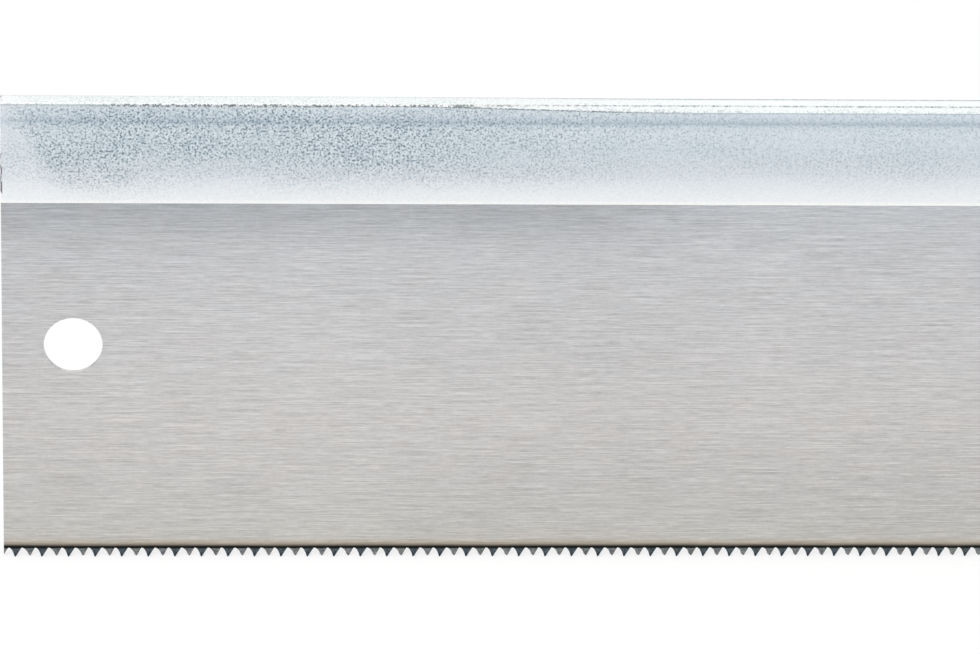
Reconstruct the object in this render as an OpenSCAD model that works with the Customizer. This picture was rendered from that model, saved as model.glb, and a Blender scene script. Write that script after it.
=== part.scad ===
// Back saw: a toothed steel blade stiffened by a folded steel back, in a closed moulded handle.
// The saw stands upright on its teeth. X runs along the blade from the toe (-X) to the handle (+X),
// Y runs across the blade and Z runs up from the tooth tips.

/* [Blade] */
// Length of blade in front of the handle's upright front edge
blade_reach = 285; // [230:1:350]
// Height of bare blade from the tooth tips to the lower edge of the back
blade_bare_h = 66.6; // [55:0.1:85]
// Thickness of the blade
blade_t = 0.86; // [0.6:0.02:1.1]
// How far the blade reaches up into the back
blade_in_back = 15.6; // [10:0.1:16]
// How far the blade's lower heel reaches into the handle
blade_heel = 44; // [36:0.5:46]
// Diameter of the hang hole
hang_hole_d = 10.1; // [6:0.1:16]
// Distance of the hang hole's centre from the toe
hang_hole_in = 12.15; // [10:0.05:40]
// Height of the hang hole's centre above the tooth tips
hang_hole_up = 39.9; // [15:0.05:45]

/* [Teeth] */
// Teeth to the inch
teeth_per_inch = 11; // [9:1:15]
// Depth of a tooth from tip to gullet
tooth_depth = 1.6; // [1.1:0.05:2.2]
// Sideways set of each tooth's tip
tooth_set = 0.22; // [0:0.01:0.35]
// Width of the small flat at each tooth's tip
tip_flat = 0.16; // [0.1:0.02:0.3]
// Plain strip between the gullets and the blade's main plate
root_strip = 0.25; // [0.2:0.05:0.8]
// How far the cutting bevel slants along the blade across the plate's thickness
bevel_slant = 0.26; // [0:0.02:0.3]

/* [Back] */
// Height of the folded back
back_h = 18.2; // [17:0.1:24]
// Thickness of the sheet that the back is folded from
back_sheet = 1.47; // [1:0.01:2]
// How far the back reaches into the handle
back_in_handle = 17; // [10:0.5:18]
// How far each lower edge of the back turns in towards the blade
back_tuck = 0.25; // [0:0.05:0.6]
// Height over which the lower edges turn in
back_tuck_h = 6; // [3:0.5:10]

/* [Handle] */
// Thickness of the handle's hard core
core_t = 22; // [18:0.5:26]
// Width of the bevel round the edges of the core
core_bevel = 2; // [1:0.5:3]
// Height of the handle's top above the back
handle_above_back = 33; // [28:1:45]
// Gap between the handle's lowest edge and the tooth tips' level
handle_above_tips = 3; // [2:0.5:6]
// Length of the closed bar that the hand holds
bar_len = 60; // [54:1:62]
// Width of the bar, from its finger side to its palm side
bar_w = 32; // [28:0.5:34]
// Thickness of the bar at its palm swell
bar_t = 28; // [24:0.5:34]
// Lean of the bar from upright, top towards the toe
bar_lean = 17; // [12:0.5:20]
// Cover that the soft grip adds round the core's neck
grip_cover = 5; // [3:0.5:7]

/* [Screws] */
// Diameter of the screw and nut heads
head_d = 11; // [9:0.5:13]
// Depth that each head sits in the core
head_h = 2.6; // [2:0.1:4]
// Outer diameter of the nut's sleeve
sleeve_d = 6; // [5:0.5:7]
// Diameter of the screw's shank
shank_d = 4; // [3:0.25:4.5]
// Radial clearance of shanks, sleeves and heads in their holes
screw_gap = 0.2; // [0.1:0.05:0.3]

/* [Hidden] */

inch = 25.4;
arc_step = 12;                              // largest turn of one facet on a rounded corner, degrees
fit_gap = 0.3;                              // clearance of a piece in its pocket, in the blade's plane
slot_gap = 0.1;                             // clearance on each face of the blade and back
cut_over = 1;                               // how far a cut runs past the face that it opens

pitch = inch / teeth_per_inch;
first_tip = -0.22;                          // the toe is cut just behind the first tooth's tip
gullet_back = 0.44 * pitch;                 // the gullet's top, measured back from the tip before it
root_z = tooth_depth + root_strip;          // lower edge of the main plate
flank_steps = 4;                            // facets on a tooth's hollow front flank
flank_bow = 2.2;                            // how strongly the front flank is hollowed
teeth_past_front = 13;                      // the teeth run at most this far past the handle's front edge
tooth_count = floor((blade_reach + teeth_past_front - gullet_back - first_tip) / pitch);
teeth_end = first_tip + (tooth_count - 1) * pitch + gullet_back;
heel_start = teeth_end - blade_reach;       // behind the last tooth the blade's edge rises at 45 degrees

back_top = blade_bare_h + back_h;
blade_top = blade_bare_h + blade_in_back;
back_w = blade_t + 2 * back_sheet;
back_corner = 0.6;                          // radius of the fold's two long upper edges
lip_corner = 0.2;                           // radius of the lower edges
back_end = blade_reach + back_in_handle;

heel_low = handle_above_tips + 5;           // lower edge of the blade inside the handle
handle_top = back_top + handle_above_back;
handle_front_top = back_top + 9;
mitre_top = 26;                             // the 45 degree edge starts here on the front edge
mitre_end = mitre_top - handle_above_tips;

// The bar's middle and the two ends of the zone that the soft grip covers
bar_mid = [88.8, (handle_top + handle_above_tips) / 2 - 1];
neck_w = bar_w - 2 * grip_cover;
neck_t = bar_t - 2 * grip_cover - 2;
neck_root = 5;                              // how far the neck runs into solid core at each end

// Corners of the handle's outline: distance behind the front edge, height, corner radius
outline = [
    [0, mitre_top, 2],
    [mitre_end, handle_above_tips, 2.5],
    [116, handle_above_tips, 9],
    [130, handle_above_tips + 9, 5],
    [113, handle_above_tips + 26, 14],
    [94, handle_top - 30, 12],
    [108, handle_top - 4, 5],
    [70, handle_top, 26],
    [34, handle_top - 8, 30],
    [0, handle_front_top, 7]
];

// Corners of the opening for the hand
opening = [
    [50, handle_above_tips + 14, 12],
    [87, handle_above_tips + 15, 6],
    [63, handle_top - 27, 12],
    [28, handle_top - 27, 14]
];

// Corners of the blade's heel and of its pocket in the handle, which runs out past the front
heel = [
    [-cut_over, -cut_over, 0.1],
    [heel_start - root_z - cut_over, -cut_over, 0.1],
    [heel_start - root_z + heel_low, heel_low, 1.5],
    [blade_heel - 4, heel_low, 3],
    [blade_heel, heel_low + 5, 3],
    [back_in_handle, blade_top, 0.5],
    [-cut_over, blade_top, 0.1]
];

// Screws: distance behind the front edge and height
screw_at = [[15, 57], [18.5, 38], [31, 18.5]];

handle_points = rounded(outline);
overall = blade_reach + max([for (p = handle_points) p[0]]);

function unit(v) = v / norm(v);
function wrap(a) = a > 180 ? a - 360 : a < -180 ? a + 360 : a;
function place(c) = [c[0], c[1]];

// The arc that rounds corner b between its neighbours a and c
function corner_arc(a, b, c, r) =
    let (p = unit(a - b), q = unit(c - b), half = acos(p * q) / 2,
         centre = b + unit(p + q) * r / sin(half),
         start = b + p * r / tan(half) - centre,
         stop = b + q * r / tan(half) - centre,
         from = atan2(start[1], start[0]),
         sweep = wrap(atan2(stop[1], stop[0]) - from),
         steps = max(1, ceil(abs(sweep) / arc_step)))
    [for (k = [0:steps]) centre + r * [cos(from + sweep * k / steps), sin(from + sweep * k / steps)]];

// A closed outline with every corner rounded
function rounded(corners) =
    let (n = len(corners))
    [for (i = [0:n - 1])
        each corner_arc(place(corners[(i + n - 1) % n]), place(corners[i]),
                        place(corners[(i + 1) % n]), corners[i][2])];

// The same corners, moved inwards by d from every edge of an anticlockwise outline
function inset(corners, d) =
    let (n = len(corners))
    [for (i = [0:n - 1])
        let (a = place(corners[(i + n - 1) % n]), b = place(corners[i]), c = place(corners[(i + 1) % n]),
             p = unit(b - a), q = unit(c - b),
             left = [-p[1] - q[1], p[0] + q[0]] / (1 + p * q),
             outward = cross(p, q) > 0 ? 1 : -1)
        [b[0] + left[0] * d, b[1] + left[1] * d, max(0.1, corners[i][2] - outward * d)]];

// Puts a profile drawn in length and height upright, with its thickness centred on the blade
module upright(t) {
    rotate([90, 0, 0]) linear_extrude(t, center = true, convexity = 6) children();
}

// Moves a piece from the handle's own place, measured from its front edge, to its place on the saw
module at_handle() {
    translate([blade_reach - overall / 2, 0, 0]) children();
}

module at_toe() {
    translate([-overall / 2, 0, 0]) children();
}

// One tooth's outline from its own gullet to the next: [length from the tip, height above the tips]
function tooth_points() =
    let (span = pitch - gullet_back - tip_flat / 2, rear = gullet_back - tip_flat / 2)
    concat(
        [for (k = [0:flank_steps])
            [-tip_flat / 2 - span * (1 - k / flank_steps),
             tooth_depth * (1 - pow(k / flank_steps, flank_bow))]],
        [[tip_flat / 2, 0], [tip_flat / 2 + 0.88 * rear, 0.92 * tooth_depth]]
    );

// The first tooth is cut off straight by the toe
function first_tooth_points() =
    let (knee = tooth_points()[flank_steps + 2], foot = tooth_points()[flank_steps + 1],
         cut_z = knee[1] * (-first_tip - foot[0]) / (knee[0] - foot[0]))
    [[-first_tip, tooth_depth], [-first_tip, cut_z], knee];

// A strip of set and bevelled teeth. Even teeth lean to one side and odd teeth to the other.
module tooth_strip() {
    outlines = [for (i = [0:tooth_count - 1])
        [for (p = i == 0 ? first_tooth_points() : tooth_points())
            [first_tip + i * pitch + p[0], p[1], i % 2 == 0 ? 1 : -1]]];
    edge = concat([for (o = outlines) each o], [[teeth_end, tooth_depth, 1]]);
    n = len(edge);
    function lean(p) = p[2] * tooth_set * (tooth_depth - p[1]) / tooth_depth;
    function slant(p, side) =
        p[0] < 0.01 ? 0 : side * p[2] * bevel_slant * (tooth_depth - p[1]) / tooth_depth / 2;
    // Rows: the toothed edge on each face, then the straight upper edge on each face
    points = concat(
        [for (p = edge) [p[0] + slant(p, 1), lean(p) - blade_t / 2, p[1]]],
        [for (p = edge) [p[0] + slant(p, -1), lean(p) + blade_t / 2, p[1]]],
        [for (p = edge) [p[0], -blade_t / 2, root_z]],
        [for (p = edge) [p[0], blade_t / 2, root_z]]
    );
    starts = [for (i = [0:tooth_count]) i == 0 ? 0 : i == tooth_count ? n - 1 : 3 + (i - 1) * (flank_steps + 3)];
    spans = [for (i = [0:tooth_count - 1]) [starts[i], starts[i + 1]]];
    // A tooth's face fans out from its rear knee, which sees every other corner
    near_teeth = [for (s = spans) concat([for (k = [s[1] - 1:-1:s[0]]) k], [s[1]])];
    far_teeth = [for (s = spans) concat([n + s[1] - 1, n + s[1]], [for (k = [s[0]:s[1] - 2]) n + k])];
    near_root = [for (s = spans) [2 * n + s[0], 2 * n + s[1], s[1], s[0]]];
    far_root = [for (s = spans) [n + s[0], n + s[1], 3 * n + s[1], 3 * n + s[0]]];
    top = [for (s = spans) [3 * n + s[0], 3 * n + s[1], 2 * n + s[1], 2 * n + s[0]]];
    flanks = [for (k = [0:n - 2]) each [[n + k, k, k + 1], [n + k + 1, n + k, k + 1]]];
    ends = [[n, 3 * n, 2 * n, 0], [3 * n - 1, 4 * n - 1, 2 * n - 1, n - 1]];
    faces = concat(near_teeth, far_teeth, near_root, far_root, top, flanks, ends);
    polyhedron(points, faces, convexity = 10);
}

module blade() {
    color([0.75, 0.75, 0.74]) {
        difference() {
            union() {
                at_toe() upright(blade_t) translate([0, root_z]) square([teeth_end, blade_top - root_z]);
                at_handle() upright(blade_t) intersection() {
                    polygon(rounded(heel));
                    translate([-cut_over, root_z]) square([overall, back_top]);
                }
            }
            at_toe() translate([hang_hole_in, 0, hang_hole_up]) rotate([90, 0, 0])
                cylinder(h = 4 * blade_t, d = hang_hole_d, center = true, $fn = 96);
            at_handle() screw_places() rotate([90, 0, 0])
                cylinder(h = 4 * blade_t, r = sleeve_d / 2 + screw_gap, center = true, $fn = 48);
        }
        at_toe() tooth_strip();
    }
}

// The back's section across the blade: a sheet folded over the blade's upper edge
module back_section() {
    half = back_w / 2;
    difference() {
        polygon(rounded([
            [-half + back_tuck, blade_bare_h, lip_corner],
            [half - back_tuck, blade_bare_h, lip_corner],
            [half, blade_bare_h + back_tuck_h, 20],
            [half, back_top, back_corner],
            [-half, back_top, back_corner],
            [-half, blade_bare_h + back_tuck_h, 20]]));
        translate([-blade_t / 2, blade_bare_h - cut_over])
            square([blade_t, blade_in_back + cut_over]);
    }
}

module back() {
    color([0.8, 0.84, 0.87]) at_toe() rotate([90, 0, 90]) linear_extrude(back_end) back_section();
}

module screw_places() {
    for (p = screw_at) translate([p[0], 0, p[1]]) children();
}

// The upright length of the bar, leaning with its top towards the toe
module along_bar() {
    translate([bar_mid[0], 0, bar_mid[1]]) rotate([0, -bar_lean, 0]) children();
}

module core_slab() {
    upright(core_t) polygon(rounded(inset(outline, core_bevel)));
    upright(core_t - 2 * core_bevel) polygon(handle_points);
}

module handle_core() {
    slot_t = blade_t + 2 * slot_gap;
    color([0.13, 0.14, 0.15]) at_handle() difference() {
        union() {
            difference() {
                core_slab();
                upright(core_t + 2 * cut_over) polygon(rounded(opening));
                along_bar() cube([2 * bar_w, 2 * core_t, bar_len], center = true);
            }
            along_bar() cube([neck_w, neck_t, bar_len + 2 * neck_root], center = true);
        }
        upright(slot_t) polygon(rounded(inset(heel, -fit_gap)));
        translate([-cut_over, -back_w / 2 - slot_gap, blade_bare_h - fit_gap])
            cube([back_in_handle + fit_gap + cut_over, back_w + 2 * slot_gap, back_h + 2 * fit_gap]);
        screw_places() rotate([90, 0, 0]) {
            cylinder(h = core_t + 2 * cut_over, r = sleeve_d / 2 + screw_gap, center = true, $fn = 48);
            for (side = [-1, 1]) translate([0, 0, side * (core_t / 2 - head_h / 2 + cut_over / 2)])
                cylinder(h = head_h + cut_over, r = head_d / 2 + screw_gap, center = true, $fn = 64);
        }
    }
}

// One oval slice across the bar
module bar_slice(at, w, t) {
    translate([0, 0, at]) linear_extrude(0.01, center = true) scale([w / 2, t / 2]) circle(1, $fn = 32);
}

// The soft cover, as a sleeve round the core's neck: slim at its ends and fullest in the palm
module soft_grip() {
    half = bar_len / 2 - 0.01;
    slices = [[-1, 0.94, 0.84], [-0.45, 0.97, 0.97], [0.05, 1, 1], [0.55, 0.96, 0.95], [1, 0.92, 0.84]];
    color([0.27, 0.34, 0.38]) at_handle() along_bar() difference() {
        for (k = [0:len(slices) - 2]) hull() for (s = [slices[k], slices[k + 1]])
            bar_slice(s[0] * half, s[1] * bar_w, s[2] * bar_t);
        cube([neck_w, neck_t, bar_len + 2 * neck_root], center = true);
    }
}

// A low button head, its outer face flush with the core's face
module head() {
    translate([0, 0, core_t / 2 - head_h]) difference() {
        cylinder(h = head_h, d = head_d, $fn = 64);
        translate([0, 0, head_h - 0.4]) difference() {
            cylinder(h = cut_over, d = head_d + cut_over, $fn = 64);
            cylinder(h = cut_over, d = head_d - 1, $fn = 64);
        }
    }
}

clamp = core_t / 2 - head_h;                // from the blade's middle to the underside of a head
sleeve_short = 2;                           // the sleeve and shank stop this far short of the other head

module nut(i) {
    color([0.72, 0.73, 0.74]) at_handle() translate([screw_at[i][0], 0, screw_at[i][1]])
        rotate([-90, 0, 0]) difference() {
            union() {
                head();
                translate([0, 0, -clamp + sleeve_short])
                    cylinder(h = 2 * clamp - sleeve_short + 0.2, d = sleeve_d, $fn = 48);
            }
            translate([0, 0, -clamp])
                cylinder(h = 2 * clamp, r = shank_d / 2 + screw_gap / 2, $fn = 48);
        }
}

module screw(i) {
    slot_w = 1.4;
    slot_l = 6;
    color([0.72, 0.73, 0.74]) at_handle() translate([screw_at[i][0], 0, screw_at[i][1]])
        rotate([90, 0, 0]) difference() {
            union() {
                head();
                translate([0, 0, -clamp + sleeve_short])
                    cylinder(h = 2 * clamp - sleeve_short + 0.2, d = shank_d, $fn = 48);
            }
            for (turn = [0, 90]) rotate([0, 0, turn + 45])
                translate([0, 0, core_t / 2]) cube([slot_l, slot_w, 2.4], center = true);
        }
}

blade();
back();
handle_core();
soft_grip();
screw(0);  // screw_upper
screw(1);  // screw_middle
screw(2);  // screw_lower
nut(0);  // nut_upper
nut(1);  // nut_middle
nut(2);  // nut_lower
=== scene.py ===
"""Looks of a back saw: ground steel blade, folded zinc-coated back, moulded two-part handle and its screws.

Lengths are millimetres in the modelling functions and become metres when a mesh is made.
The handle is modelled in its own place: a runs back from the handle's front edge, y across and z up.
"""

import math

import bmesh
import bpy
import numpy as np
from mathutils import Matrix, Vector


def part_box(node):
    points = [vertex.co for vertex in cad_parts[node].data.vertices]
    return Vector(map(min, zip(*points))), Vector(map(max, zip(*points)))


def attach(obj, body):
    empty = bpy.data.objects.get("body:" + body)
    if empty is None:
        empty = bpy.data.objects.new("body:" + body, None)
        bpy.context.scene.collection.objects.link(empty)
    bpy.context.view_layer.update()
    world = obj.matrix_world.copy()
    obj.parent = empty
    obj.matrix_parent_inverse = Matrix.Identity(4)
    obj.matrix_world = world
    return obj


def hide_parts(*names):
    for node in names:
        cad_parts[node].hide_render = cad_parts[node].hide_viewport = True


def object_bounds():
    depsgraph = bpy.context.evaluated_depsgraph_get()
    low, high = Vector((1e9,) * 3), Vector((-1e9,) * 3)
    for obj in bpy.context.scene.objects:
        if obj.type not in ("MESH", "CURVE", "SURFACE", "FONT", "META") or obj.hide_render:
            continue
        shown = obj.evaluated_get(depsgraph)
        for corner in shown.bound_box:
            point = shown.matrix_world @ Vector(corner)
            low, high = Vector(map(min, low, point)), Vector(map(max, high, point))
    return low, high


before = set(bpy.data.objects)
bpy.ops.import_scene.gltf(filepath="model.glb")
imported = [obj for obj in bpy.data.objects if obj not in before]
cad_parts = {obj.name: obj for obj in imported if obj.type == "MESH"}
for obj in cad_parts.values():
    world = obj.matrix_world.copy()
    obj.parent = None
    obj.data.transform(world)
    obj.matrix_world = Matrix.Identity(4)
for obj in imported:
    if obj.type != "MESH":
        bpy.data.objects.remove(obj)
cad_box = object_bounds()

MM = 0.001
TOE = cad_box[0][0] / MM                        # x of the blade's toe
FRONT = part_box("handle_core")[0].x / MM         # x of the handle's front edge
BACK_LOW, BACK_HIGH = (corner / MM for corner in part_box("back"))
HALF_BACK = BACK_HIGH.y                         # half the back's thickness
BARE_H = BACK_LOW.z                             # lower edge of the back
BACK_TOP = BACK_HIGH.z
BLADE_HALF = 0.43                               # half the blade's thickness
CORE_HALF = 11.0                                # half the core's thickness
PITCH = 25.4 / 11                               # eleven teeth to the inch
ROOT_Z = 1.85                                   # top of the strip that the teeth stand on
FIRST_TIP = 0.22                                # how far past a tip the blade's toe cuts the row of teeth

# The back's upper edge is sharp near the toe and has a slanting facet towards the handle
ROUND_FROM, ROUND_TO = 60, 115                  # the facet grows between these distances from the toe
EDGE_DROP = 0.28                                # how far the edge sinks where the facet is whole
FACET_DOWN = 0.30                               # height of the facet at the toe, and what it grows by
FACET_GROWTH = 1.05
CREASE_DOWN = 3.4                               # crease of the fold, below the top


# Small helpers for shader nodes -------------------------------------------------------------------

def new_tree(name):
    """An empty material, and its node tree."""
    material = bpy.data.materials.new(name)
    material.use_nodes = True
    material.node_tree.nodes.clear()
    return material, material.node_tree


def add(tree, kind, inputs=None, **settings):
    """Adds a node. Each input is a value, or the socket that feeds it."""
    node = tree.nodes.new(kind)
    for key, value in settings.items():
        setattr(node, key, value)
    for key, value in (inputs or {}).items():
        if isinstance(value, bpy.types.NodeSocket):
            tree.links.new(value, node.inputs[key])
        else:
            node.inputs[key].default_value = value
    return node


def surface_point(tree):
    """The point on the surface in the saw's frame, in metres."""
    return add(tree, "ShaderNodeTexCoord").outputs["Object"]


def place(tree):
    """The point on the surface in metres, and in millimetres its distances from the toe, across and up."""
    point = surface_point(tree)
    split = add(tree, "ShaderNodeSeparateXYZ", {0: point})
    x, y, z = (sums(tree, "MULTIPLY", socket, 1 / MM) for socket in split.outputs)
    return point, sums(tree, "SUBTRACT", x, TOE), y, z


def sums(tree, operation, first, second=0.0, third=0.0):
    return add(tree, "ShaderNodeMath", {0: first, 1: second, 2: third}, operation=operation).outputs[0]


def product(tree, first, *others):
    """The product of two or more values."""
    for other in others:
        first = sums(tree, "MULTIPLY", first, other)
    return first


def fade(tree, value, start, stop, low=0.0, high=1.0):
    """Smooth step: low before start, high after stop."""
    node = add(tree, "ShaderNodeMapRange", {0: value, 1: start, 2: stop, 3: low, 4: high},
               interpolation_type="SMOOTHSTEP")
    return node.outputs[0]


def noise(tree, point, scale, detail=2.0, roughness=0.5, stretch=(1, 1, 1), offset=(0, 0, 0)):
    """Smooth noise about 0.5. Scale is in cycles to the metre along each axis, times stretch."""
    moved = add(tree, "ShaderNodeVectorMath", {0: point, 1: [scale * s for s in stretch], 2: offset},
                operation="MULTIPLY_ADD").outputs[0]
    node = add(tree, "ShaderNodeTexNoise", {"Vector": moved, "Scale": 1.0, "Detail": detail,
                                            "Roughness": roughness})
    return node.outputs[0]


def ramp(tree, value, stops, start, stop):
    """A colour that runs through stops, given as pairs of a value from start to stop and a colour."""
    share = add(tree, "ShaderNodeMapRange", {0: value, 1: start, 2: stop}).outputs[0]
    node = add(tree, "ShaderNodeValToRGB", {0: share})
    elements = node.color_ramp.elements
    while len(elements) < len(stops):
        elements.new(0.5)
    for element, (at, colour) in zip(elements, stops):
        element.position = (at - start) / (stop - start)
        element.color = (*colour, 1)
    return node.outputs[0]


def blend(tree, share, first, second, mode="MIX"):
    node = add(tree, "ShaderNodeMix", data_type="RGBA", blend_type=mode, clamp_factor=True)
    for socket, value in ((0, share), (6, first), (7, second)):
        if isinstance(value, bpy.types.NodeSocket):
            tree.links.new(value, node.inputs[socket])
        elif socket == 0:
            node.inputs[0].default_value = value
        else:
            node.inputs[socket].default_value = (*value, 1)
    return node.outputs[2]


def grey(tree, value):
    """A colour with the same number in each channel."""
    return add(tree, "ShaderNodeCombineColor", {0: value, 1: value, 2: value}).outputs[0]


def bump(tree, height, strength, depth_mm):
    return add(tree, "ShaderNodeBump", {"Height": height, "Strength": strength, "Distance": depth_mm * MM})


def finish_surface(tree, colour, roughness, normal=None, **fixed):
    """The one shader of a material, and its output."""
    shader = add(tree, "ShaderNodeBsdfPrincipled", {"Base Color": colour, "Roughness": roughness})
    for key, value in fixed.items():
        shader.inputs[key.replace("_", " ")].default_value = value
    if normal is not None:
        tree.links.new(normal.outputs[0], shader.inputs["Normal"])
    add(tree, "ShaderNodeOutputMaterial", {0: shader.outputs[0]})


# Materials ----------------------------------------------------------------------------------------

def blade_steel():
    """Steel ground along its length, with hardened dark teeth and the straw tint above them, painted shading
    by height and painted shade under the back.
    """
    material, tree = new_tree("blade_steel")
    point, along, y, height = place(tree)
    wander = noise(tree, point, 60, 2, stretch=(1, 0, 0))
    lower = sums(tree, "MULTIPLY_ADD", wander, 0.3, sums(tree, "SUBTRACT", height, 0.15))
    # Colour by height: the dark straw tint just above the teeth, then painted shading that makes the steel
    # lighter up towards the back
    steel = ramp(tree, lower, [
        (ROOT_Z + 0.03, (0.012, 0.013, 0.012)), (ROOT_Z + 0.20, (0.11, 0.095, 0.076)),
        (ROOT_Z + 0.40, (0.29, 0.255, 0.21)), (ROOT_Z + 0.65, (0.43, 0.385, 0.325)),
        (ROOT_Z + 1.0, (0.52, 0.475, 0.415)), (ROOT_Z + 1.55, (0.555, 0.535, 0.505)),
        (6.0, (0.56, 0.55, 0.525)), (13.0, (0.585, 0.57, 0.555)), (25.0, (0.635, 0.615, 0.60)),
        (42.0, (0.655, 0.64, 0.635)), (56.0, (0.67, 0.66, 0.66)), (66.0, (0.67, 0.67, 0.675)),
    ], 0.0, 70.0)
    # Painted shade: the steel is darkened just under the back, towards the toe
    shade = product(tree, fade(tree, lower, BARE_H - 11.6, BARE_H - 0.1),
                    fade(tree, along, 90, 140, 0.20, 0.0))
    steel = blend(tree, shade, steel, (0.0, 0.01, 0.02))
    steel = blend(tree, 1.0, steel, grey(tree, brushing(tree, point)), "MULTIPLY")
    hue = noise(tree, point, 1, 3, 0.6, stretch=(130, 10, 330), offset=(4, 8, 2))
    tint = ramp(tree, hue, [(0.35, (0.99, 1.0, 1.008)), (0.65, (1.008, 1.0, 0.995))], 0.0, 1.0)
    steel = blend(tree, 1.0, steel, tint, "MULTIPLY")
    teeth = tooth_colour(tree, point, along, y, height)
    colour = blend(tree, fade(tree, lower, ROOT_Z - 0.07, ROOT_Z + 0.05), teeth, steel)
    fine = noise(tree, point, 1, 1, 0.6, stretch=(150, 10, 3400))
    roughness = fade(tree, fine, 0.3, 0.7, 0.30, 0.42)
    finish_surface(tree, colour, roughness, bump(tree, fine, 0.25, 0.02), Metallic=1.0)
    return material


def brushing(tree, point):
    """Brightness of the ground surface, about 1: short streaks, longer ones, cloudiness and bright flecks."""
    parts = [
        (noise(tree, point, 1, 1, 0.6, stretch=(100, 10, 4600)), 0.64),
        (noise(tree, point, 1, 1, 0.6, stretch=(420, 10, 4000), offset=(8, 3, 2)), 0.45),
        (noise(tree, point, 1, 1, 0.6, stretch=(45, 10, 1700), offset=(3, 5, 7)), 0.22),
        (noise(tree, point, 1, 2, 0.5, stretch=(16, 10, 30), offset=(11, 2, 4)), 0.14),
        (noise(tree, point, 1, 2, 0.6, stretch=(1800, 10, 1900), offset=(1, 6, 9)), 0.16),
    ]
    total = 1.0 - sum(weight for share, weight in parts) / 2
    for share, weight in parts:
        total = sums(tree, "MULTIPLY_ADD", share, weight, total)
    flecks = fade(tree, noise(tree, point, 1, 1, 0.5, stretch=(420, 10, 1700), offset=(9, 1, 3)), 0.70, 0.78)
    return sums(tree, "MULTIPLY_ADD", flecks, 0.08, total)


def tooth_colour(tree, point, along, y, height):
    """Blue-grey teeth under a black line. Every other tooth is painted darker on each face, as painted shade
    for a bevel turned away from the light.
    """
    tooth = sums(tree, "DIVIDE", sums(tree, "ADD", along, FIRST_TIP + PITCH / 2), 2 * PITCH)
    odd = sums(tree, "GREATER_THAN", sums(tree, "FRACT", tooth), 0.5)
    far = sums(tree, "GREATER_THAN", y, 0.0)
    turned = sums(tree, "ABSOLUTE", sums(tree, "SUBTRACT", odd, far))
    mottle = noise(tree, point, 1900, 3, 0.7, offset=(6, 2, 8))
    pale = ramp(tree, mottle, [(0.35, (0.10, 0.115, 0.12)), (0.62, (0.24, 0.25, 0.255))], 0.0, 1.0)
    # Painted shade: the darker teeth, which darken further towards the tip, stand for bevels turned away from
    # the light
    dark = ramp(tree, mottle, [(0.35, (0.035, 0.055, 0.07)), (0.65, (0.13, 0.15, 0.16))], 0.0, 1.0)
    tipped = blend(tree, fade(tree, height, 0.2, 1.0, 0.75, 0.0), dark, (0.015, 0.025, 0.045))
    colour = blend(tree, turned, pale, tipped)
    line = sums(tree, "MULTIPLY_ADD", mottle, 0.5, height)
    return blend(tree, fade(tree, line, ROOT_Z - 0.23, ROOT_Z - 0.05), colour, (0.012, 0.013, 0.012))


def zinc_steel():
    """Zinc coat over folded steel: pale blue-grey, with a dense dark speckle and a worn upper edge, painted
    highlights along both long edges and in a strip below the upper edge, and painted shade at the crease.
    """
    material, tree = new_tree("zinc_steel")
    point, along, y, height = place(tree)
    grain = noise(tree, point, 3000, 1, 0.6)
    cloud = noise(tree, point, 1, 3, 0.55, stretch=(45, 20, 130))
    amount = speckle_amount(tree, along, height, cloud)
    tone = noise(tree, point, 1, 2, 0.6, stretch=(70, 20, 210), offset=(12, 4, 6))
    # The colour by height carries painted highlights along both long edges and painted shade at the crease
    colour = blend(tree, product(tree, fade(tree, tone, 0.36, 0.62, 0.0, 0.15), amount),
                   zinc_tone_and_painted_light(tree, height), (0.28, 0.38, 0.46))
    pale_toe = fade(tree, sums(tree, "SUBTRACT", along, toe_line(tree, height)), -2.0, 2.0, 0.45, 0.0)
    colour = blend(tree, pale_toe, colour, (1.0, 1.0, 1.0))
    colour, mottle = speckled(tree, point, grain, amount, colour)
    colour = worn_edges_and_painted_highlight(tree, point, along, y, height, colour)
    roughness = sums(tree, "MULTIPLY_ADD", mottle, 0.12, 0.2)
    finish_surface(tree, colour, roughness, bump(tree, grain, 0.2, 0.03), Metallic=1.0)
    return material


def zinc_tone_and_painted_light(tree, height):
    """The coat's colour by height, with painted light: near white painted highlights at both long edges,
    lighter and darker bands across the face, and painted shade darkest at the crease.
    """
    crease = BACK_TOP - CREASE_DOWN
    return ramp(tree, height, [
        (BARE_H, (1.0, 0.995, 0.985)), (BARE_H + 2.0, (0.97, 0.965, 0.96)),
        (BARE_H + 6.0, (0.86, 0.88, 0.89)), (BARE_H + 9.5, (0.84, 0.88, 0.90)),
        (BARE_H + 13.2, (0.93, 0.965, 0.975)), (crease - 0.5, (0.86, 0.905, 0.935)),
        (crease + 0.05, (0.70, 0.765, 0.81)), (crease + 0.6, (0.80, 0.85, 0.885)),
        (BACK_TOP - 2.0, (0.92, 0.96, 0.99)), (BACK_TOP - 1.3, (0.97, 1.0, 1.0)),
    ], BARE_H - 1, BACK_TOP + 1)


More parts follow.
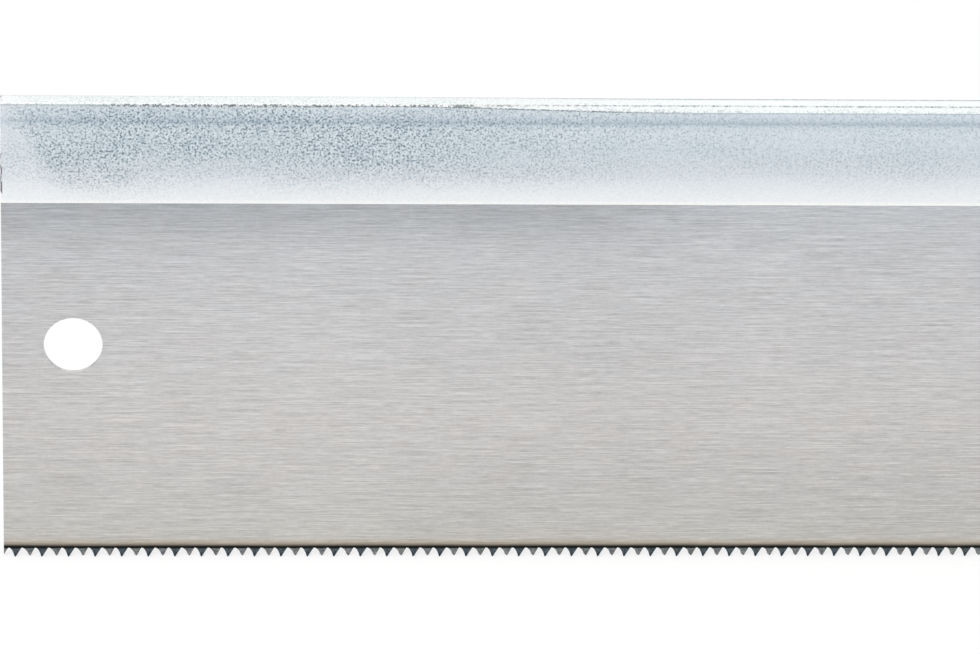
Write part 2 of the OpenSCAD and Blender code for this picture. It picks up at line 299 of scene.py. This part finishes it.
def speckled(tree, point, grain, amount, colour):
    """The colour with mottling, sparks, dark pits and a few darker marks; and the mottling's strength."""
    coarse = noise(tree, point, 1100, 3, 0.65, offset=(31, 17, 5))
    mottle = product(tree, fade(tree, grain, 0.36, 0.54, 1.0, 0.0), 0.72)
    mottle = sums(tree, "MULTIPLY_ADD", fade(tree, coarse, 0.38, 0.6, 1.0, 0.0), 0.28, mottle)
    colour = blend(tree, product(tree, mottle, amount, 0.80), colour, (0.30, 0.39, 0.44))
    specks = noise(tree, point, 2700, 0, 0.5, offset=(3, 9, 4))
    sparks = fade(tree, specks, 0.30, 0.42, 0.8, 0.0)
    colour = blend(tree, product(tree, sparks, amount), colour, (0.97, 1.0, 1.0))
    pits = fade(tree, specks, 0.58, 0.68, 0.0, 0.85)
    colour = blend(tree, product(tree, pits, amount), colour, (0.15, 0.21, 0.25))
    marks = fade(tree, coarse, 0.72, 0.78)
    return blend(tree, product(tree, marks, amount), colour, (0.05, 0.07, 0.09)), mottle


def toe_line(tree, height):
    """Where the pale part at the toe ends, slanting away from the toe downwards."""
    return sums(tree, "MULTIPLY_ADD", sums(tree, "SUBTRACT", BACK_TOP, height), 0.35, 3.0)


def speckle_amount(tree, along, height, cloud):
    """How strong the speckle is: weaker towards the handle, at the toe and near both long edges."""
    blot = sums(tree, "MULTIPLY", sums(tree, "SUBTRACT", cloud, 0.5), 14)
    toe_edge = sums(tree, "ADD", toe_line(tree, height), blot)
    toe_part = fade(tree, sums(tree, "SUBTRACT", along, toe_edge), -2.0, 2.0, 0.35, 1.0)
    length_part = fade(tree, along, 50, 130, 1.0, 0.34)
    ragged_height = sums(tree, "MULTIPLY_ADD", blot, 0.5, height)
    low_part = fade(tree, ragged_height, BARE_H + 1.0, BARE_H + 9.0, 0.05, 1.0)
    high_part = fade(tree, height, BACK_TOP - 1.2, BACK_TOP - 0.6, 1.0, 0.45)
    return product(tree, fade(tree, cloud, 0.25, 0.7, 0.5, 1.0), toe_part, length_part, low_part, high_part)


def worn_edges_and_painted_highlight(tree, point, along, y, height, colour):
    """Marks where the coat is worn or cut: along the upper edges, at the facet and on the sheared end. Also a
    painted highlight: a white strip below the sharp part of the near upper edge.
    """
    dashes = noise(tree, point, 1, 3, 0.7, stretch=(1300, 300, 300), offset=(7, 3, 1))
    fleck = noise(tree, point, 1, 2, 0.7, stretch=(2400, 900, 2400), offset=(2, 2, 6))
    whole = fade(tree, along, ROUND_FROM, ROUND_TO)
    edge = sums(tree, "SUBTRACT", height, sums(tree, "MULTIPLY_ADD", whole, -EDGE_DROP, BACK_TOP))
    inward = sums(tree, "SUBTRACT", HALF_BACK, sums(tree, "ABSOLUTE", y))
    corner = fade(tree, sums(tree, "MULTIPLY_ADD", whole, -0.62, inward), 0.10, 0.22, 1.0, 0.0)
    broken = product(tree, fade(tree, dashes, 0.36, 0.60, 0.4, 1.0), fade(tree, fleck, 0.38, 0.62, 0.35, 0.8))
    worn = product(tree, fade(tree, edge, -0.24, -0.12), corner, broken)
    # Below the edge, as far as it is sharp, a painted highlight: a white strip with a fringe of dark dots on
    # it
    reach = fade(tree, along, 40, 100, 0.80, 0.40)
    painted_highlight_strip = product(tree, fade(tree, sums(tree, "ADD", edge, reach), 0.0, 0.2), corner,
                    fade(tree, along, 75, 110, 0.8, 0.0), fade(tree, along, 12, 22, 0.2, 1.0))
    colour = blend(tree, painted_highlight_strip, colour, (1.0, 1.0, 1.0))
    fringe = product(tree, fade(tree, fleck, 0.42, 0.58), painted_highlight_strip)
    colour = blend(tree, sums(tree, "MAXIMUM", worn, fringe), colour, (0.12, 0.15, 0.15))
    # A second, thinner line along the facet's lower side, while the facet is narrow
    facet = sums(tree, "MULTIPLY_ADD", whole, -FACET_GROWTH, BACK_TOP - FACET_DOWN)
    off_line = sums(tree, "ABSOLUTE", sums(tree, "SUBTRACT", height, facet))
    line = product(tree, fade(tree, off_line, 0.06, 0.16, 0.75, 0.0), fade(tree, fleck, 0.40, 0.55),
                   fade(tree, along, 66, 76), fade(tree, along, 98, 120, 1.0, 0.0))
    colour = blend(tree, line, colour, (0.16, 0.20, 0.21))
    # The far upper edge is faintly grey
    rear = product(tree, fade(tree, y, HALF_BACK - 0.34, HALF_BACK - 0.18, 0.0, 0.5),
                   fade(tree, height, BACK_TOP - 0.4, BACK_TOP - 0.15))
    colour = blend(tree, rear, colour, (0.12, 0.13, 0.13))
    end = product(tree, fade(tree, along, 0.15, 0.45, 1.0, 0.0), fade(tree, dashes, 0.5, 0.62))
    return blend(tree, end, colour, (0.14, 0.16, 0.16))


def screw_steel():
    """Nickel-plated steel with fine scratches and a faint stain."""
    material, tree = new_tree("screw_steel")
    point = surface_point(tree)
    scratches = noise(tree, point, 1, 3, 0.6, stretch=(600, 200, 2600))
    stain = noise(tree, point, 260, 3, 0.6)
    colour = ramp(tree, stain, [(0.3, (0.60, 0.60, 0.59)), (0.7, (0.74, 0.745, 0.75))], 0.0, 1.0)
    roughness = fade(tree, scratches, 0.3, 0.7, 0.2, 0.38)
    finish_surface(tree, colour, roughness, bump(tree, scratches, 0.3, 0.02), Metallic=1.0)
    return material


def handle_plastic():
    """Hard charcoal moulding with a fine spark-eroded grain, rubbed a little smoother in places."""
    material, tree = new_tree("handle_plastic")
    point = surface_point(tree)
    grain = noise(tree, point, 2400, 2, 0.6)
    flow = noise(tree, point, 30, 3, 0.5)
    rub = noise(tree, point, 90, 4, 0.6, offset=(5, 5, 5))
    colour = ramp(tree, flow, [(0.3, (0.030, 0.033, 0.037)), (0.7, (0.042, 0.045, 0.050))], 0.0, 1.0)
    colour = blend(tree, fade(tree, grain, 0.6, 0.75, 0.0, 0.3), colour, (0.07, 0.074, 0.08))
    roughness = fade(tree, rub, 0.3, 0.7, 0.40, 0.55)
    finish_surface(tree, colour, roughness, bump(tree, grain, 0.35, 0.08), IOR=1.5)
    return material


def grip_rubber():
    """Soft slate-grey grip: matt, with a fine pebbled skin that is darker in its grooves."""
    material, tree = new_tree("grip_rubber")
    point = surface_point(tree)
    pebbles = add(tree, "ShaderNodeTexVoronoi", {"Vector": point, "Scale": 1400.0, "Randomness": 1.0},
                  feature="SMOOTH_F1").outputs[0]
    shade = noise(tree, point, 60, 4, 0.6)
    colour = ramp(tree, shade, [(0.3, (0.14, 0.18, 0.20)), (0.7, (0.18, 0.22, 0.245))], 0.0, 1.0)
    colour = blend(tree, fade(tree, pebbles, 0.35, 0.6, 0.0, 0.35), colour, (0.09, 0.115, 0.13))
    roughness = fade(tree, shade, 0.3, 0.7, 0.58, 0.72)
    finish_surface(tree, colour, roughness, bump(tree, pebbles, 0.3, -0.12), IOR=1.45)
    return material


# Meshes -------------------------------------------------------------------------------------------

def make_piece(name, points, faces, shift=(0, 0, 0)):
    """A mesh object from points in millimetres."""
    mesh = bpy.data.meshes.new(name)
    placed = (np.asarray(points, float) + np.array(shift, float)) * MM
    mesh.from_pydata(placed.tolist(), [], [list(face) for face in faces])
    mesh.update()
    piece = bpy.data.objects.new(name, mesh)
    bpy.context.scene.collection.objects.link(piece)
    return piece


def smooth(piece, angle):
    """Shades the piece smooth, with sharp edges where faces meet at more than angle degrees."""
    piece.data.shade_smooth()
    piece.data.set_sharp_from_angle(angle=math.radians(angle))


def ease(value, start, stop):
    """Smooth step from 0 to 1 over start to stop, for numbers and arrays."""
    share = np.clip((value - start) / (stop - start), 0, 1)
    return share * share * (3 - 2 * share)


def arc(centre, radius, start, stop, steps):
    """Points on an arc in the (y, z) plane. Angles are degrees from the +y direction."""
    angles = np.radians(np.linspace(start, stop, steps + 1))
    return [(centre[0] + radius * math.cos(t), centre[1] + radius * math.sin(t)) for t in angles]


def back_profile(along, roundness):
    """Half the back's section at a distance from the toe, from the slot's root round to the top's middle."""
    slot = BLADE_HALF + 0.02
    in_slot = 15.6                              # depth of the slot above the back's lower edge
    lip = 0.08                                  # radius of the rounded lower edge
    tuck, tuck_h = 0.14, 8.5                    # how far the lower edge leans in, and from what height
    drift = 0.012 * math.sin(along / 9.0) + 0.010 * math.sin(along / 23.0 + 1.0)
    grown = roundness * float(ease(along, ROUND_FROM, ROUND_TO))
    crease = BACK_TOP - CREASE_DOWN + 3 * drift
    facet = BACK_TOP - FACET_DOWN - FACET_GROWTH * grown
    facet_slope, upper_slope = (math.tan(math.radians(angle)) for angle in (30, 0.3))
    edge_top = BACK_TOP - 0.02 - EDGE_DROP * grown
    corner = 0.16
    outer = HALF_BACK - 0.005
    above_crease = outer - 0.025                # the surface steps in by this little at the crease

    def tucked(height):
        return tuck * max(0.0, 1 - (height - BARE_H) / tuck_h) ** 2

    points = [(slot, BARE_H + in_slot), (slot, BARE_H + lip)]
    low = outer - tucked(BARE_H + lip)
    points += arc((slot + lip, BARE_H + lip), lip, 180, 270, 3)[1:]
    points += arc((low - lip, BARE_H + lip), lip, 270, 360, 4)
    for share in np.linspace(0.08, 1, 12):
        height = BARE_H + lip + share * (tuck_h - lip)
        points.append((outer - tucked(height), height))
    points += [(outer + 0.3 * drift, BARE_H + 11), (outer, crease - 0.5), (outer - 0.003, crease - 0.2)]
    points += [(outer - 0.012, crease + 0.05), (outer - 0.022, crease + 0.3), (above_crease, crease + 0.55)]
    start = above_crease - (facet - crease) * upper_slope
    points += [(start + 0.001, facet - 0.3), (start, facet - 0.06)]
    points.append((start - 0.03 * facet_slope, facet + 0.04))
    top_y = start - (edge_top - facet - corner) * facet_slope
    points.append((top_y, edge_top - corner))
    points += arc((top_y - corner, edge_top - corner), corner, 0, 90, 4)[1:]
    rise = BACK_TOP - edge_top
    points += [((top_y - corner) * share, edge_top + rise * (1 - share * share))
               for share in (0.75, 0.5, 0.25)]
    points.append((0, BACK_TOP))
    return points


def build_back():
    """The folded back, swept from the toe into the handle, with its sheared ends eased a little."""
    length = BACK_HIGH.x - BACK_LOW.x
    ends = [0.0, 0.06, 0.22, 1.0]
    stations = ends + list(np.arange(2.5, length - 2, 1.5)) + [length - at for at in reversed(ends)]
    rings = []
    for at in stations:
        far = np.array(back_profile(at, 0.3))       # the far side is rounded less
        near = np.array(back_profile(at, 1.0)) * (-1, 1)
        ring = np.vstack([far, near[-2::-1]])
        nearness = 1 - min(1.0, min(at, length - at) / ends[2])
        ring = eased(ring, 0.1 * nearness ** 2)
        rings.append(np.column_stack([np.full(len(ring), BACK_LOW.x + at), ring]))
    count = len(rings[0])
    faces = []
    for k in range(len(rings) - 1):
        for i in range(count):
            j = (i + 1) % count
            faces.append((k * count + i, k * count + j, (k + 1) * count + j, (k + 1) * count + i))
    last = (len(rings) - 1) * count
    faces.append(list(reversed(range(count))))
    faces.append(list(range(last, last + count)))
    piece = make_piece("folded_back", np.vstack(rings), faces)
    smooth(piece, 24)
    return piece


def eased(ring, amount):
    """A section with its outer points moved in by amount."""
    across, height = ring.T
    across = np.where(np.abs(across) > 1, across - np.sign(across) * amount, across)
    height = np.where(height > BACK_TOP - 0.5, height - amount, height)
    height = np.where(height < BARE_H + 0.3, height + amount, height)
    return np.column_stack([across, height])


# The handle's form --------------------------------------------------------------------------------

# Corners of the handle's outline and of the opening for the hand: a, z, corner radius
TOP = BACK_TOP + 33
OUTLINE = [(0, 26, 2), (23, 3, 2.5), (116, 3, 9), (130, 12, 5), (113, 29, 14), (94, TOP - 30, 12),
           (108, TOP - 4, 5), (70, TOP, 26), (34, TOP - 8, 30), (0, BACK_TOP + 9, 7)]
OPENING = [(50, 17, 12), (87, 18, 6), (63, TOP - 27, 12), (28, TOP - 27, 14)]
# Corners of the pocket for the blade's heel
BLADE_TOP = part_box("blade")[1].z / MM
HEEL = [(-1, -1, 0.1), (6.2, -1, 0.1), (15.2, 8, 1.5), (40, 8, 3), (44, 13, 3), (17, BLADE_TOP, 0.5),
        (-1, BLADE_TOP, 0.1)]
SCREWS = [(15, 57), (18.5, 38), (31, 18.5)]
BAR_MID = (88.8, (TOP + 3) / 2 - 1)
BAR_LEAN = math.radians(17)
GRIP_HALF = 30.0                                # half the length of the soft grip
GRID = 0.7                                      # step of the grid that the handle's form is sampled on


def rounded(corners, turn=5.0):
    """A closed outline with every corner rounded, as points at most turn degrees apart on the arcs."""
    points = []
    count = len(corners)
    for i in range(count):
        before, corner, after = (np.array(corners[(i + k) % count][:2], float) for k in (-1, 0, 1))
        p = (before - corner) / np.linalg.norm(before - corner)
        q = (after - corner) / np.linalg.norm(after - corner)
        half = math.acos(float(p @ q)) / 2
        radius = corners[i][2]
        centre = corner + (p + q) / np.linalg.norm(p + q) * radius / math.sin(half)
        start, stop = (corner + side * radius / math.tan(half) - centre for side in (p, q))
        first = math.atan2(start[1], start[0])
        sweep = (math.atan2(stop[1], stop[0]) - first + math.pi) % (2 * math.pi) - math.pi
        steps = max(1, math.ceil(abs(math.degrees(sweep)) / turn))
        for k in range(steps + 1):
            angle = first + sweep * k / steps
            points.append(centre + radius * np.array([math.cos(angle), math.sin(angle)]))
    return np.array(points)


def outline_depth(outline, a, z):
    """Distance to a closed outline, positive inside it."""
    nearest = np.full(a.shape, np.inf)
    inside = np.zeros(a.shape, bool)
    for (a0, z0), (a1, z1) in zip(outline, np.roll(outline, -1, axis=0)):
        run, rise = a1 - a0, z1 - z0
        share = np.clip(((a - a0) * run + (z - z0) * rise) / (run * run + rise * rise + 1e-12), 0, 1)
        nearest = np.minimum(nearest, (a - a0 - share * run) ** 2 + (z - z0 - share * rise) ** 2)
        if rise != 0:
            inside ^= ((z0 > z) != (z1 > z)) & (a < run * (z - z0) / rise + a0)
    return np.where(inside, 1, -1) * np.sqrt(nearest)


def smooth_max(first, second, width):
    """The larger of two fields, rounded over width where they meet."""
    near = np.maximum(width - np.abs(first - second), 0) / width
    return np.maximum(first, second) + near * near * width / 4


def smooth_min(first, second, width):
    return -smooth_max(-first, -second, width)


def bar_place(a, z):
    """Length along the bar from its middle, and distance across it, towards the palm."""
    da, dz = a - BAR_MID[0], z - BAR_MID[1]
    return (dz * math.cos(BAR_LEAN) - da * math.sin(BAR_LEAN),
            da * math.cos(BAR_LEAN) + dz * math.sin(BAR_LEAN))


def oval(across, y, half_w, half_t):
    """Distance, near enough, to an oval section; negative inside."""
    near = np.sqrt((across / half_w) ** 2 + (y / half_t) ** 2) + 1e-9
    steep = np.sqrt((across / half_w ** 2) ** 2 + (y / half_t ** 2) ** 2) + 1e-9
    return near * (near - 1) / steep


def slab(a, y, z, depth):
    """The flat part of the handle, with rounded edges and a shallow panel round the screws."""
    edge = 3.2 + 6.8 * ease(a, 26, 54)
    panel = ease(depth, 5.0, 6.2) * (1 - ease(a, 41, 47))
    for screw_a, screw_z in SCREWS:
        panel = panel * ease(np.hypot(a - screw_a, z - screw_z), 7.8, 8.8)
    half = CORE_HALF - 0.7 * panel
    across, up = edge - depth, np.abs(y) - (half - edge)
    outside = np.hypot(np.maximum(across, 0), np.maximum(up, 0))
    return outside + np.minimum(np.maximum(across, up), 0) - edge


def form(a, y, z):
    """The handle's whole outer form: the slab and the swollen bar, blended."""
    depth = np.minimum(outline_depth(OUTLINE_POINTS, a, z), -outline_depth(OPENING_POINTS, a, z))
    length, across = bar_place(a, z)
    swell = ((length - 1.5) / 30) ** 2
    bar = oval(across, y, 15.7 - 1.1 * swell, 13.4 - 2.2 * swell)
    bar = smooth_max(bar, np.abs(length) - 45, 8)
    whole = smooth_min(slab(a, y, z, depth), bar, 5)
    return smooth_max(whole, np.abs(y) - 13.9, 0.5) + 0.04


def grip_zone(a, z):
    """Negative in the part of the bar that the soft grip covers; its ends are curved."""
    length, across = bar_place(a, z)
    ends = np.abs(length) - (GRIP_HALF - 0.1) + 3.0 * (across / 16) ** 2
    return np.maximum(ends, np.abs(across) - 22)


def grip_form(a, y, z):
    """The soft grip: a sleeve with finger ribs, hollow for the core's neck."""
    length, across = bar_place(a, z)
    wave = 0.5 - 0.5 * np.cos(2 * np.pi * length / 5.0)
    ribbed = ease(np.abs(across), 4.0, 8.0) * (1 - ease(np.abs(length), 20.0, 24.0))
    skin = form(a, y, z) + 0.55 * ribbed * wave ** 2
    return smooth_max(smooth_max(skin, grip_zone(a, z), 1.2), -oval(across, y, 11.2, 8.2), 0.5)


def core_form(a, y, z):
    """The hard core: the rest of the form, and the neck inside the grip."""
    length, across = bar_place(a, z)
    rest = smooth_max(form(a, y, z), 0.12 - grip_zone(a, z), 1.2)
    neck = smooth_max(oval(across, y, 11.0, 8.0), np.abs(length) - 34, 0.5)
    return np.minimum(rest, neck)


def surface_points(field, function, low):
    """One point in each grid cell that the surface crosses, moved onto the surface."""
    shape = np.array(field.shape) - 1
    inside = field < 0
    total = sum(inside[i:i + shape[0], j:j + shape[1], k:k + shape[2]].astype(int)
                for i in (0, 1) for j in (0, 1) for k in (0, 1))
    mixed = (total > 0) & (total < 8)
    where = np.argwhere(mixed)
    number = np.full(mixed.shape, -1)
    number[mixed] = np.arange(len(where))
    crossings = np.zeros((len(where), 3))
    counts = np.zeros(len(where))
    for axis in range(3):
        step = np.eye(3, dtype=int)[axis]
        others = [k for k in range(3) if k != axis]
        for first in (0, 1):
            for second in (0, 1):
                corner = np.zeros(3, int)
                corner[others] = first, second
                start = where + corner
                f0 = field[tuple(start.T)]
                f1 = field[tuple((start + step).T)]
                crossed = (f0 < 0) != (f1 < 0)
                share = np.where(crossed, f0 / np.where(crossed, f0 - f1, 1), 0)
                crossings += np.where(crossed, 1, 0)[:, None] * (start + share[:, None] * step)
                counts += crossed
    points = low + GRID * crossings / counts[:, None]
    return onto_surface(points, function), number, inside


def onto_surface(points, function):
    """Moves points onto the surface along its slope, by Newton's method."""
    tiny = 0.02
    for turn in range(3):
        a, y, z = points.T
        value = function(a, y, z)
        slope = np.column_stack([function(a + tiny, y, z) - value, function(a, y + tiny, z) - value,
                                 function(a, y, z + tiny) - value]) / tiny
        length = np.maximum((slope ** 2).sum(1), 0.2)
        move = -(value / length)[:, None] * slope
        points = points + np.clip(move, -0.35 * GRID, 0.35 * GRID)
    return points


def surface_quads(number, inside):
    """Quads round each grid edge that the surface crosses, facing outwards."""
    quads = []
    for axis in range(3):
        u, v = [(1, 2), (2, 0), (0, 1)][axis]
        lower = np.moveaxis(inside, (axis, u, v), (0, 1, 2))[:-1, 1:-1, 1:-1]
        upper = np.moveaxis(inside, (axis, u, v), (0, 1, 2))[1:, 1:-1, 1:-1]
        turned = np.moveaxis(number, (axis, u, v), (0, 1, 2))
        i, j, k = np.nonzero(lower != upper)
        quad = np.column_stack([turned[i, j, k], turned[i, j + 1, k],
                                turned[i, j + 1, k + 1], turned[i, j, k + 1]])
        leaving = lower[i, j, k]
        quads.append(np.where(leaving[:, None], quad, quad[:, ::-1]))
    return np.vstack(quads)


def build_form(name, function):
    """A smooth closed mesh of a field, which is negative inside the piece."""
    low = np.array([-2.0, -16.0, 1.0])
    high = np.array([130.0, 16.0, 120.0])
    axes = [np.arange(lowest, highest, GRID) for lowest, highest in zip(low, high)]
    a, z = np.meshgrid(axes[0], axes[2], indexing="ij")
    field = np.stack([function(a, np.full(a.shape, y), z) for y in axes[1]], axis=1)
    points, number, inside = surface_points(field, function, low)
    return make_piece(name, points, surface_quads(number, inside), (FRONT, 0, 0))


OUTLINE_POINTS = rounded(OUTLINE)
OPENING_POINTS = rounded(OPENING)


# Cuts in the core ---------------------------------------------------------------------------------

def prism(name, outline, half_t):
    """An upright plate with this outline in a and z."""
    count = len(outline)
    near = [(a, -half_t, z) for a, z in outline]
    far = [(a, half_t, z) for a, z in outline]
    faces = [list(range(count)), list(range(2 * count - 1, count - 1, -1))]
    faces += [(i, count + i, count + (i + 1) % count, (i + 1) % count) for i in range(count)]
    return make_piece(name, near + far, faces, (FRONT, 0, 0))


def stepped_bores(name):
    """The three screw bores, with a pocket for a head at each end."""
    pocket, bore = 5.7, 3.2                     # radii
    floor, end = 8.4, 15                        # from the middle to a pocket's floor, and to the cutter's end
    profile = [(pocket, -end), (pocket, -floor), (bore, -floor),
               (bore, floor), (pocket, floor), (pocket, end)]
    sides = 96
    rings = len(profile)
    points, faces = [], []

    def ring(r, k):
        return start + 2 + r * sides + k % sides

    for screw_a, screw_z in SCREWS:
        start = len(points)
        points += [(screw_a, -end, screw_z), (screw_a, end, screw_z)]
        for radius, y in profile:
            for k in range(sides):
                angle = 2 * math.pi * k / sides
                points.append((screw_a + radius * math.cos(angle), y, screw_z + radius * math.sin(angle)))
        for k in range(sides):
            faces.append((start, ring(0, k), ring(0, k + 1)))
            faces.append((start + 1, ring(rings - 1, k + 1), ring(rings - 1, k)))
            faces += [(ring(r, k), ring(r + 1, k), ring(r + 1, k + 1), ring(r, k + 1))
                      for r in range(rings - 1)]
    return make_piece(name, points, faces, (FRONT, 0, 0))


def cut(piece, cutter):
    """Takes the cutter's volume away from the piece, then removes the cutter."""
    fix_normals(cutter)
    modifier = piece.modifiers.new("cut", "BOOLEAN")
    modifier.object = cutter
    modifier.operation = "DIFFERENCE"
    modifier.solver = "EXACT"
    bpy.context.view_layer.update()
    view = bpy.context.evaluated_depsgraph_get()
    mesh = bpy.data.meshes.new_from_object(piece.evaluated_get(view))
    piece.modifiers.clear()
    piece.data = mesh
    bpy.data.objects.remove(cutter)


def fix_normals(piece):
    """Turns every face outwards."""
    work = bmesh.new()
    work.from_mesh(piece.data)
    bmesh.ops.recalc_face_normals(work, faces=work.faces)
    work.to_mesh(piece.data)
    work.free()


def widened(outline, gap):
    """An outline moved outwards by gap, point by point along its own normals."""
    ahead = np.roll(outline, -1, axis=0) - np.roll(outline, 1, axis=0)
    normal = np.column_stack([ahead[:, 1], -ahead[:, 0]])
    return outline + gap * normal / np.linalg.norm(normal, axis=1)[:, None]


def build_core():
    piece = build_form("handle_moulding", core_form)
    gap, side_gap = 0.3, 0.1
    cut(piece, prism("blade_slot", widened(rounded(HEEL), gap), BLADE_HALF + side_gap))
    reach = BACK_HIGH.x - FRONT + gap
    low, high = BARE_H - gap, BACK_TOP + gap
    mortise = np.array([(-3, low), (reach, low), (reach, high), (-3, high)])
    cut(piece, prism("back_mortise", mortise, HALF_BACK + side_gap))
    cut(piece, stepped_bores("screw_bores"))
    smooth(piece, 32)
    return piece


def build_grip():
    piece = build_form("palm_grip", grip_form)
    smooth(piece, 40)
    return piece


# Stage, light and camera --------------------------------------------------------------------------

def switch(tree, share, without, within):
    node = add(tree, "ShaderNodeMixShader", {0: share, 1: without, 2: within})
    return node.outputs[0]


def floor_material():
    """Plain pale floor. Metal sees it fall off in brightness away from the saw, as in a light tent."""
    material, tree = new_tree("pale_floor")
    y = place(tree)[2]
    path = add(tree, "ShaderNodeLightPath").outputs
    away = sums(tree, "ABSOLUTE", y)
    glow = ramp(tree, away, [
        (0, (1, 1, 1)), (105, (1, 1, 1)), (140, (0.93, 0.95, 0.98)), (180, (0.82, 0.87, 0.91)),
        (400, (0.58, 0.62, 0.67)), (1000, (0.38, 0.43, 0.48)),
    ], 0, 1000)
    lit_share = 0.4                 # the rest of what the camera sees is plain white, so shadows stay faint
    lit = add(tree, "ShaderNodeBsdfDiffuse", {"Color": (0.9, 0.9, 0.9, 1)}).outputs[0]
    plain = add(tree, "ShaderNodeBsdfDiffuse", {"Color": (0.8, 0.8, 0.8, 1)}).outputs[0]
    white = add(tree, "ShaderNodeEmission", {"Color": (1, 1, 1, 1), "Strength": 1.12}).outputs[0]
    mirrored = add(tree, "ShaderNodeEmission", {"Color": glow, "Strength": 1.0}).outputs[0]
    seen = switch(tree, lit_share, white, lit)
    surface = switch(tree, path["Is Glossy Ray"], plain, mirrored)
    surface = switch(tree, path["Is Camera Ray"], surface, seen)
    add(tree, "ShaderNodeOutputMaterial", {0: surface})
    return material


def build_floor():
    half = 6000
    piece = make_piece("floor", [(-half, -half, 0), (half, -half, 0), (half, half, 0), (-half, half, 0)],
                       [(0, 1, 2, 3)])
    piece.data.materials.append(floor_material())


def light_world():
    """White room: soft light for matt surfaces, and a darker horizon for metal to show its form."""
    world = bpy.data.worlds.new("white_room")
    bpy.context.scene.world = world
    world.use_nodes = True
    tree = world.node_tree
    tree.nodes.clear()
    path = add(tree, "ShaderNodeLightPath").outputs
    direction = add(tree, "ShaderNodeTexCoord").outputs["Generated"]
    up = add(tree, "ShaderNodeSeparateXYZ", {0: direction}).outputs[2]
    sky = ramp(tree, up, [
        (0.0, (0.35, 0.40, 0.45)), (0.06, (0.33, 0.37, 0.41)), (0.22, (1.0, 1.0, 1.0)), (1.0, (1, 1, 1)),
    ], 0.0, 1.0)
    soft = add(tree, "ShaderNodeBackground", {"Color": (1, 1, 1, 1), "Strength": 0.72}).outputs[0]
    mirrored = add(tree, "ShaderNodeBackground", {"Color": sky, "Strength": 1.05}).outputs[0]
    white = add(tree, "ShaderNodeBackground", {"Color": (1, 1, 1, 1), "Strength": 1.0}).outputs[0]
    surface = switch(tree, path["Is Glossy Ray"], soft, mirrored)
    surface = switch(tree, path["Is Camera Ray"], surface, white)
    add(tree, "ShaderNodeOutputWorld", {0: surface})


def light_key():
    """One large soft lamp, high in front and to the left."""
    data = bpy.data.lights.new("soft_key", "AREA")
    data.shape = "DISK"
    data.size = 1.2
    data.energy = 14
    lamp = bpy.data.objects.new("soft_key", data)
    bpy.context.scene.collection.objects.link(lamp)
    lamp.location = (-0.7, -1.1, 1.5)
    lamp.rotation_euler = (Vector((0, 0, 0.05)) - lamp.location).to_track_quat("-Z", "Y").to_euler()


def set_camera():
    """Looks at the toe half of the blade from the front, a little from above and from the left."""
    turn, drop, roll = (math.radians(angle) for angle in (3.742, 22.878, 1.561))
    distance = 0.97925
    target = Vector(((TOE + 83.65) * MM, 0, 0.04325))
    ahead = Vector((math.sin(turn) * math.cos(drop), math.cos(turn) * math.cos(drop), -math.sin(drop)))
    level = Vector((math.cos(turn), -math.sin(turn), 0))
    upright = level.cross(ahead)
    right = math.cos(roll) * level + math.sin(roll) * upright
    above = math.cos(roll) * upright - math.sin(roll) * level
    data = bpy.data.cameras.new("camera")
    data.sensor_width = 36
    data.lens = 209.2
    camera = bpy.data.objects.new("camera", data)
    bpy.context.scene.collection.objects.link(camera)
    turned = Matrix((right, above, -ahead)).transposed().to_4x4()
    camera.matrix_world = Matrix.Translation(target - distance * ahead) @ turned
    bpy.context.scene.camera = camera


def dress(piece, material):
    piece.data.materials.clear()
    piece.data.materials.append(material)


def stand_in(piece, node, material):
    """Puts a detailed piece in a CAD node's place."""
    dress(piece, material)
    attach(piece, "root")
    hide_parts(node)


def soften_edges(node, width):
    """Joins the CAD mesh's split edges and bevels them."""
    weld = node.modifiers.new("weld", "WELD")
    weld.merge_threshold = 1e-6
    bevel = node.modifiers.new("bevel", "BEVEL")
    bevel.width = width * MM
    bevel.segments = 2
    bevel.limit_method = "ANGLE"
    bevel.angle_limit = math.radians(40)


set_camera()
build_floor()
light_world()
light_key()

dress(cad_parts["blade"], blade_steel())
stand_in(build_back(), "back", zinc_steel())
stand_in(build_core(), "handle_core", handle_plastic())
stand_in(build_grip(), "soft_grip", grip_rubber())
bolts = screw_steel()
for spot in ("upper", "middle", "lower"):
    for kind in ("screw", "nut"):
        dress(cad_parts[kind + "_" + spot], bolts)
        soften_edges(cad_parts[kind + "_" + spot], 0.2)

bpy.context.scene.view_settings.view_transform = "Standard"

bpy.context.view_layer.update()
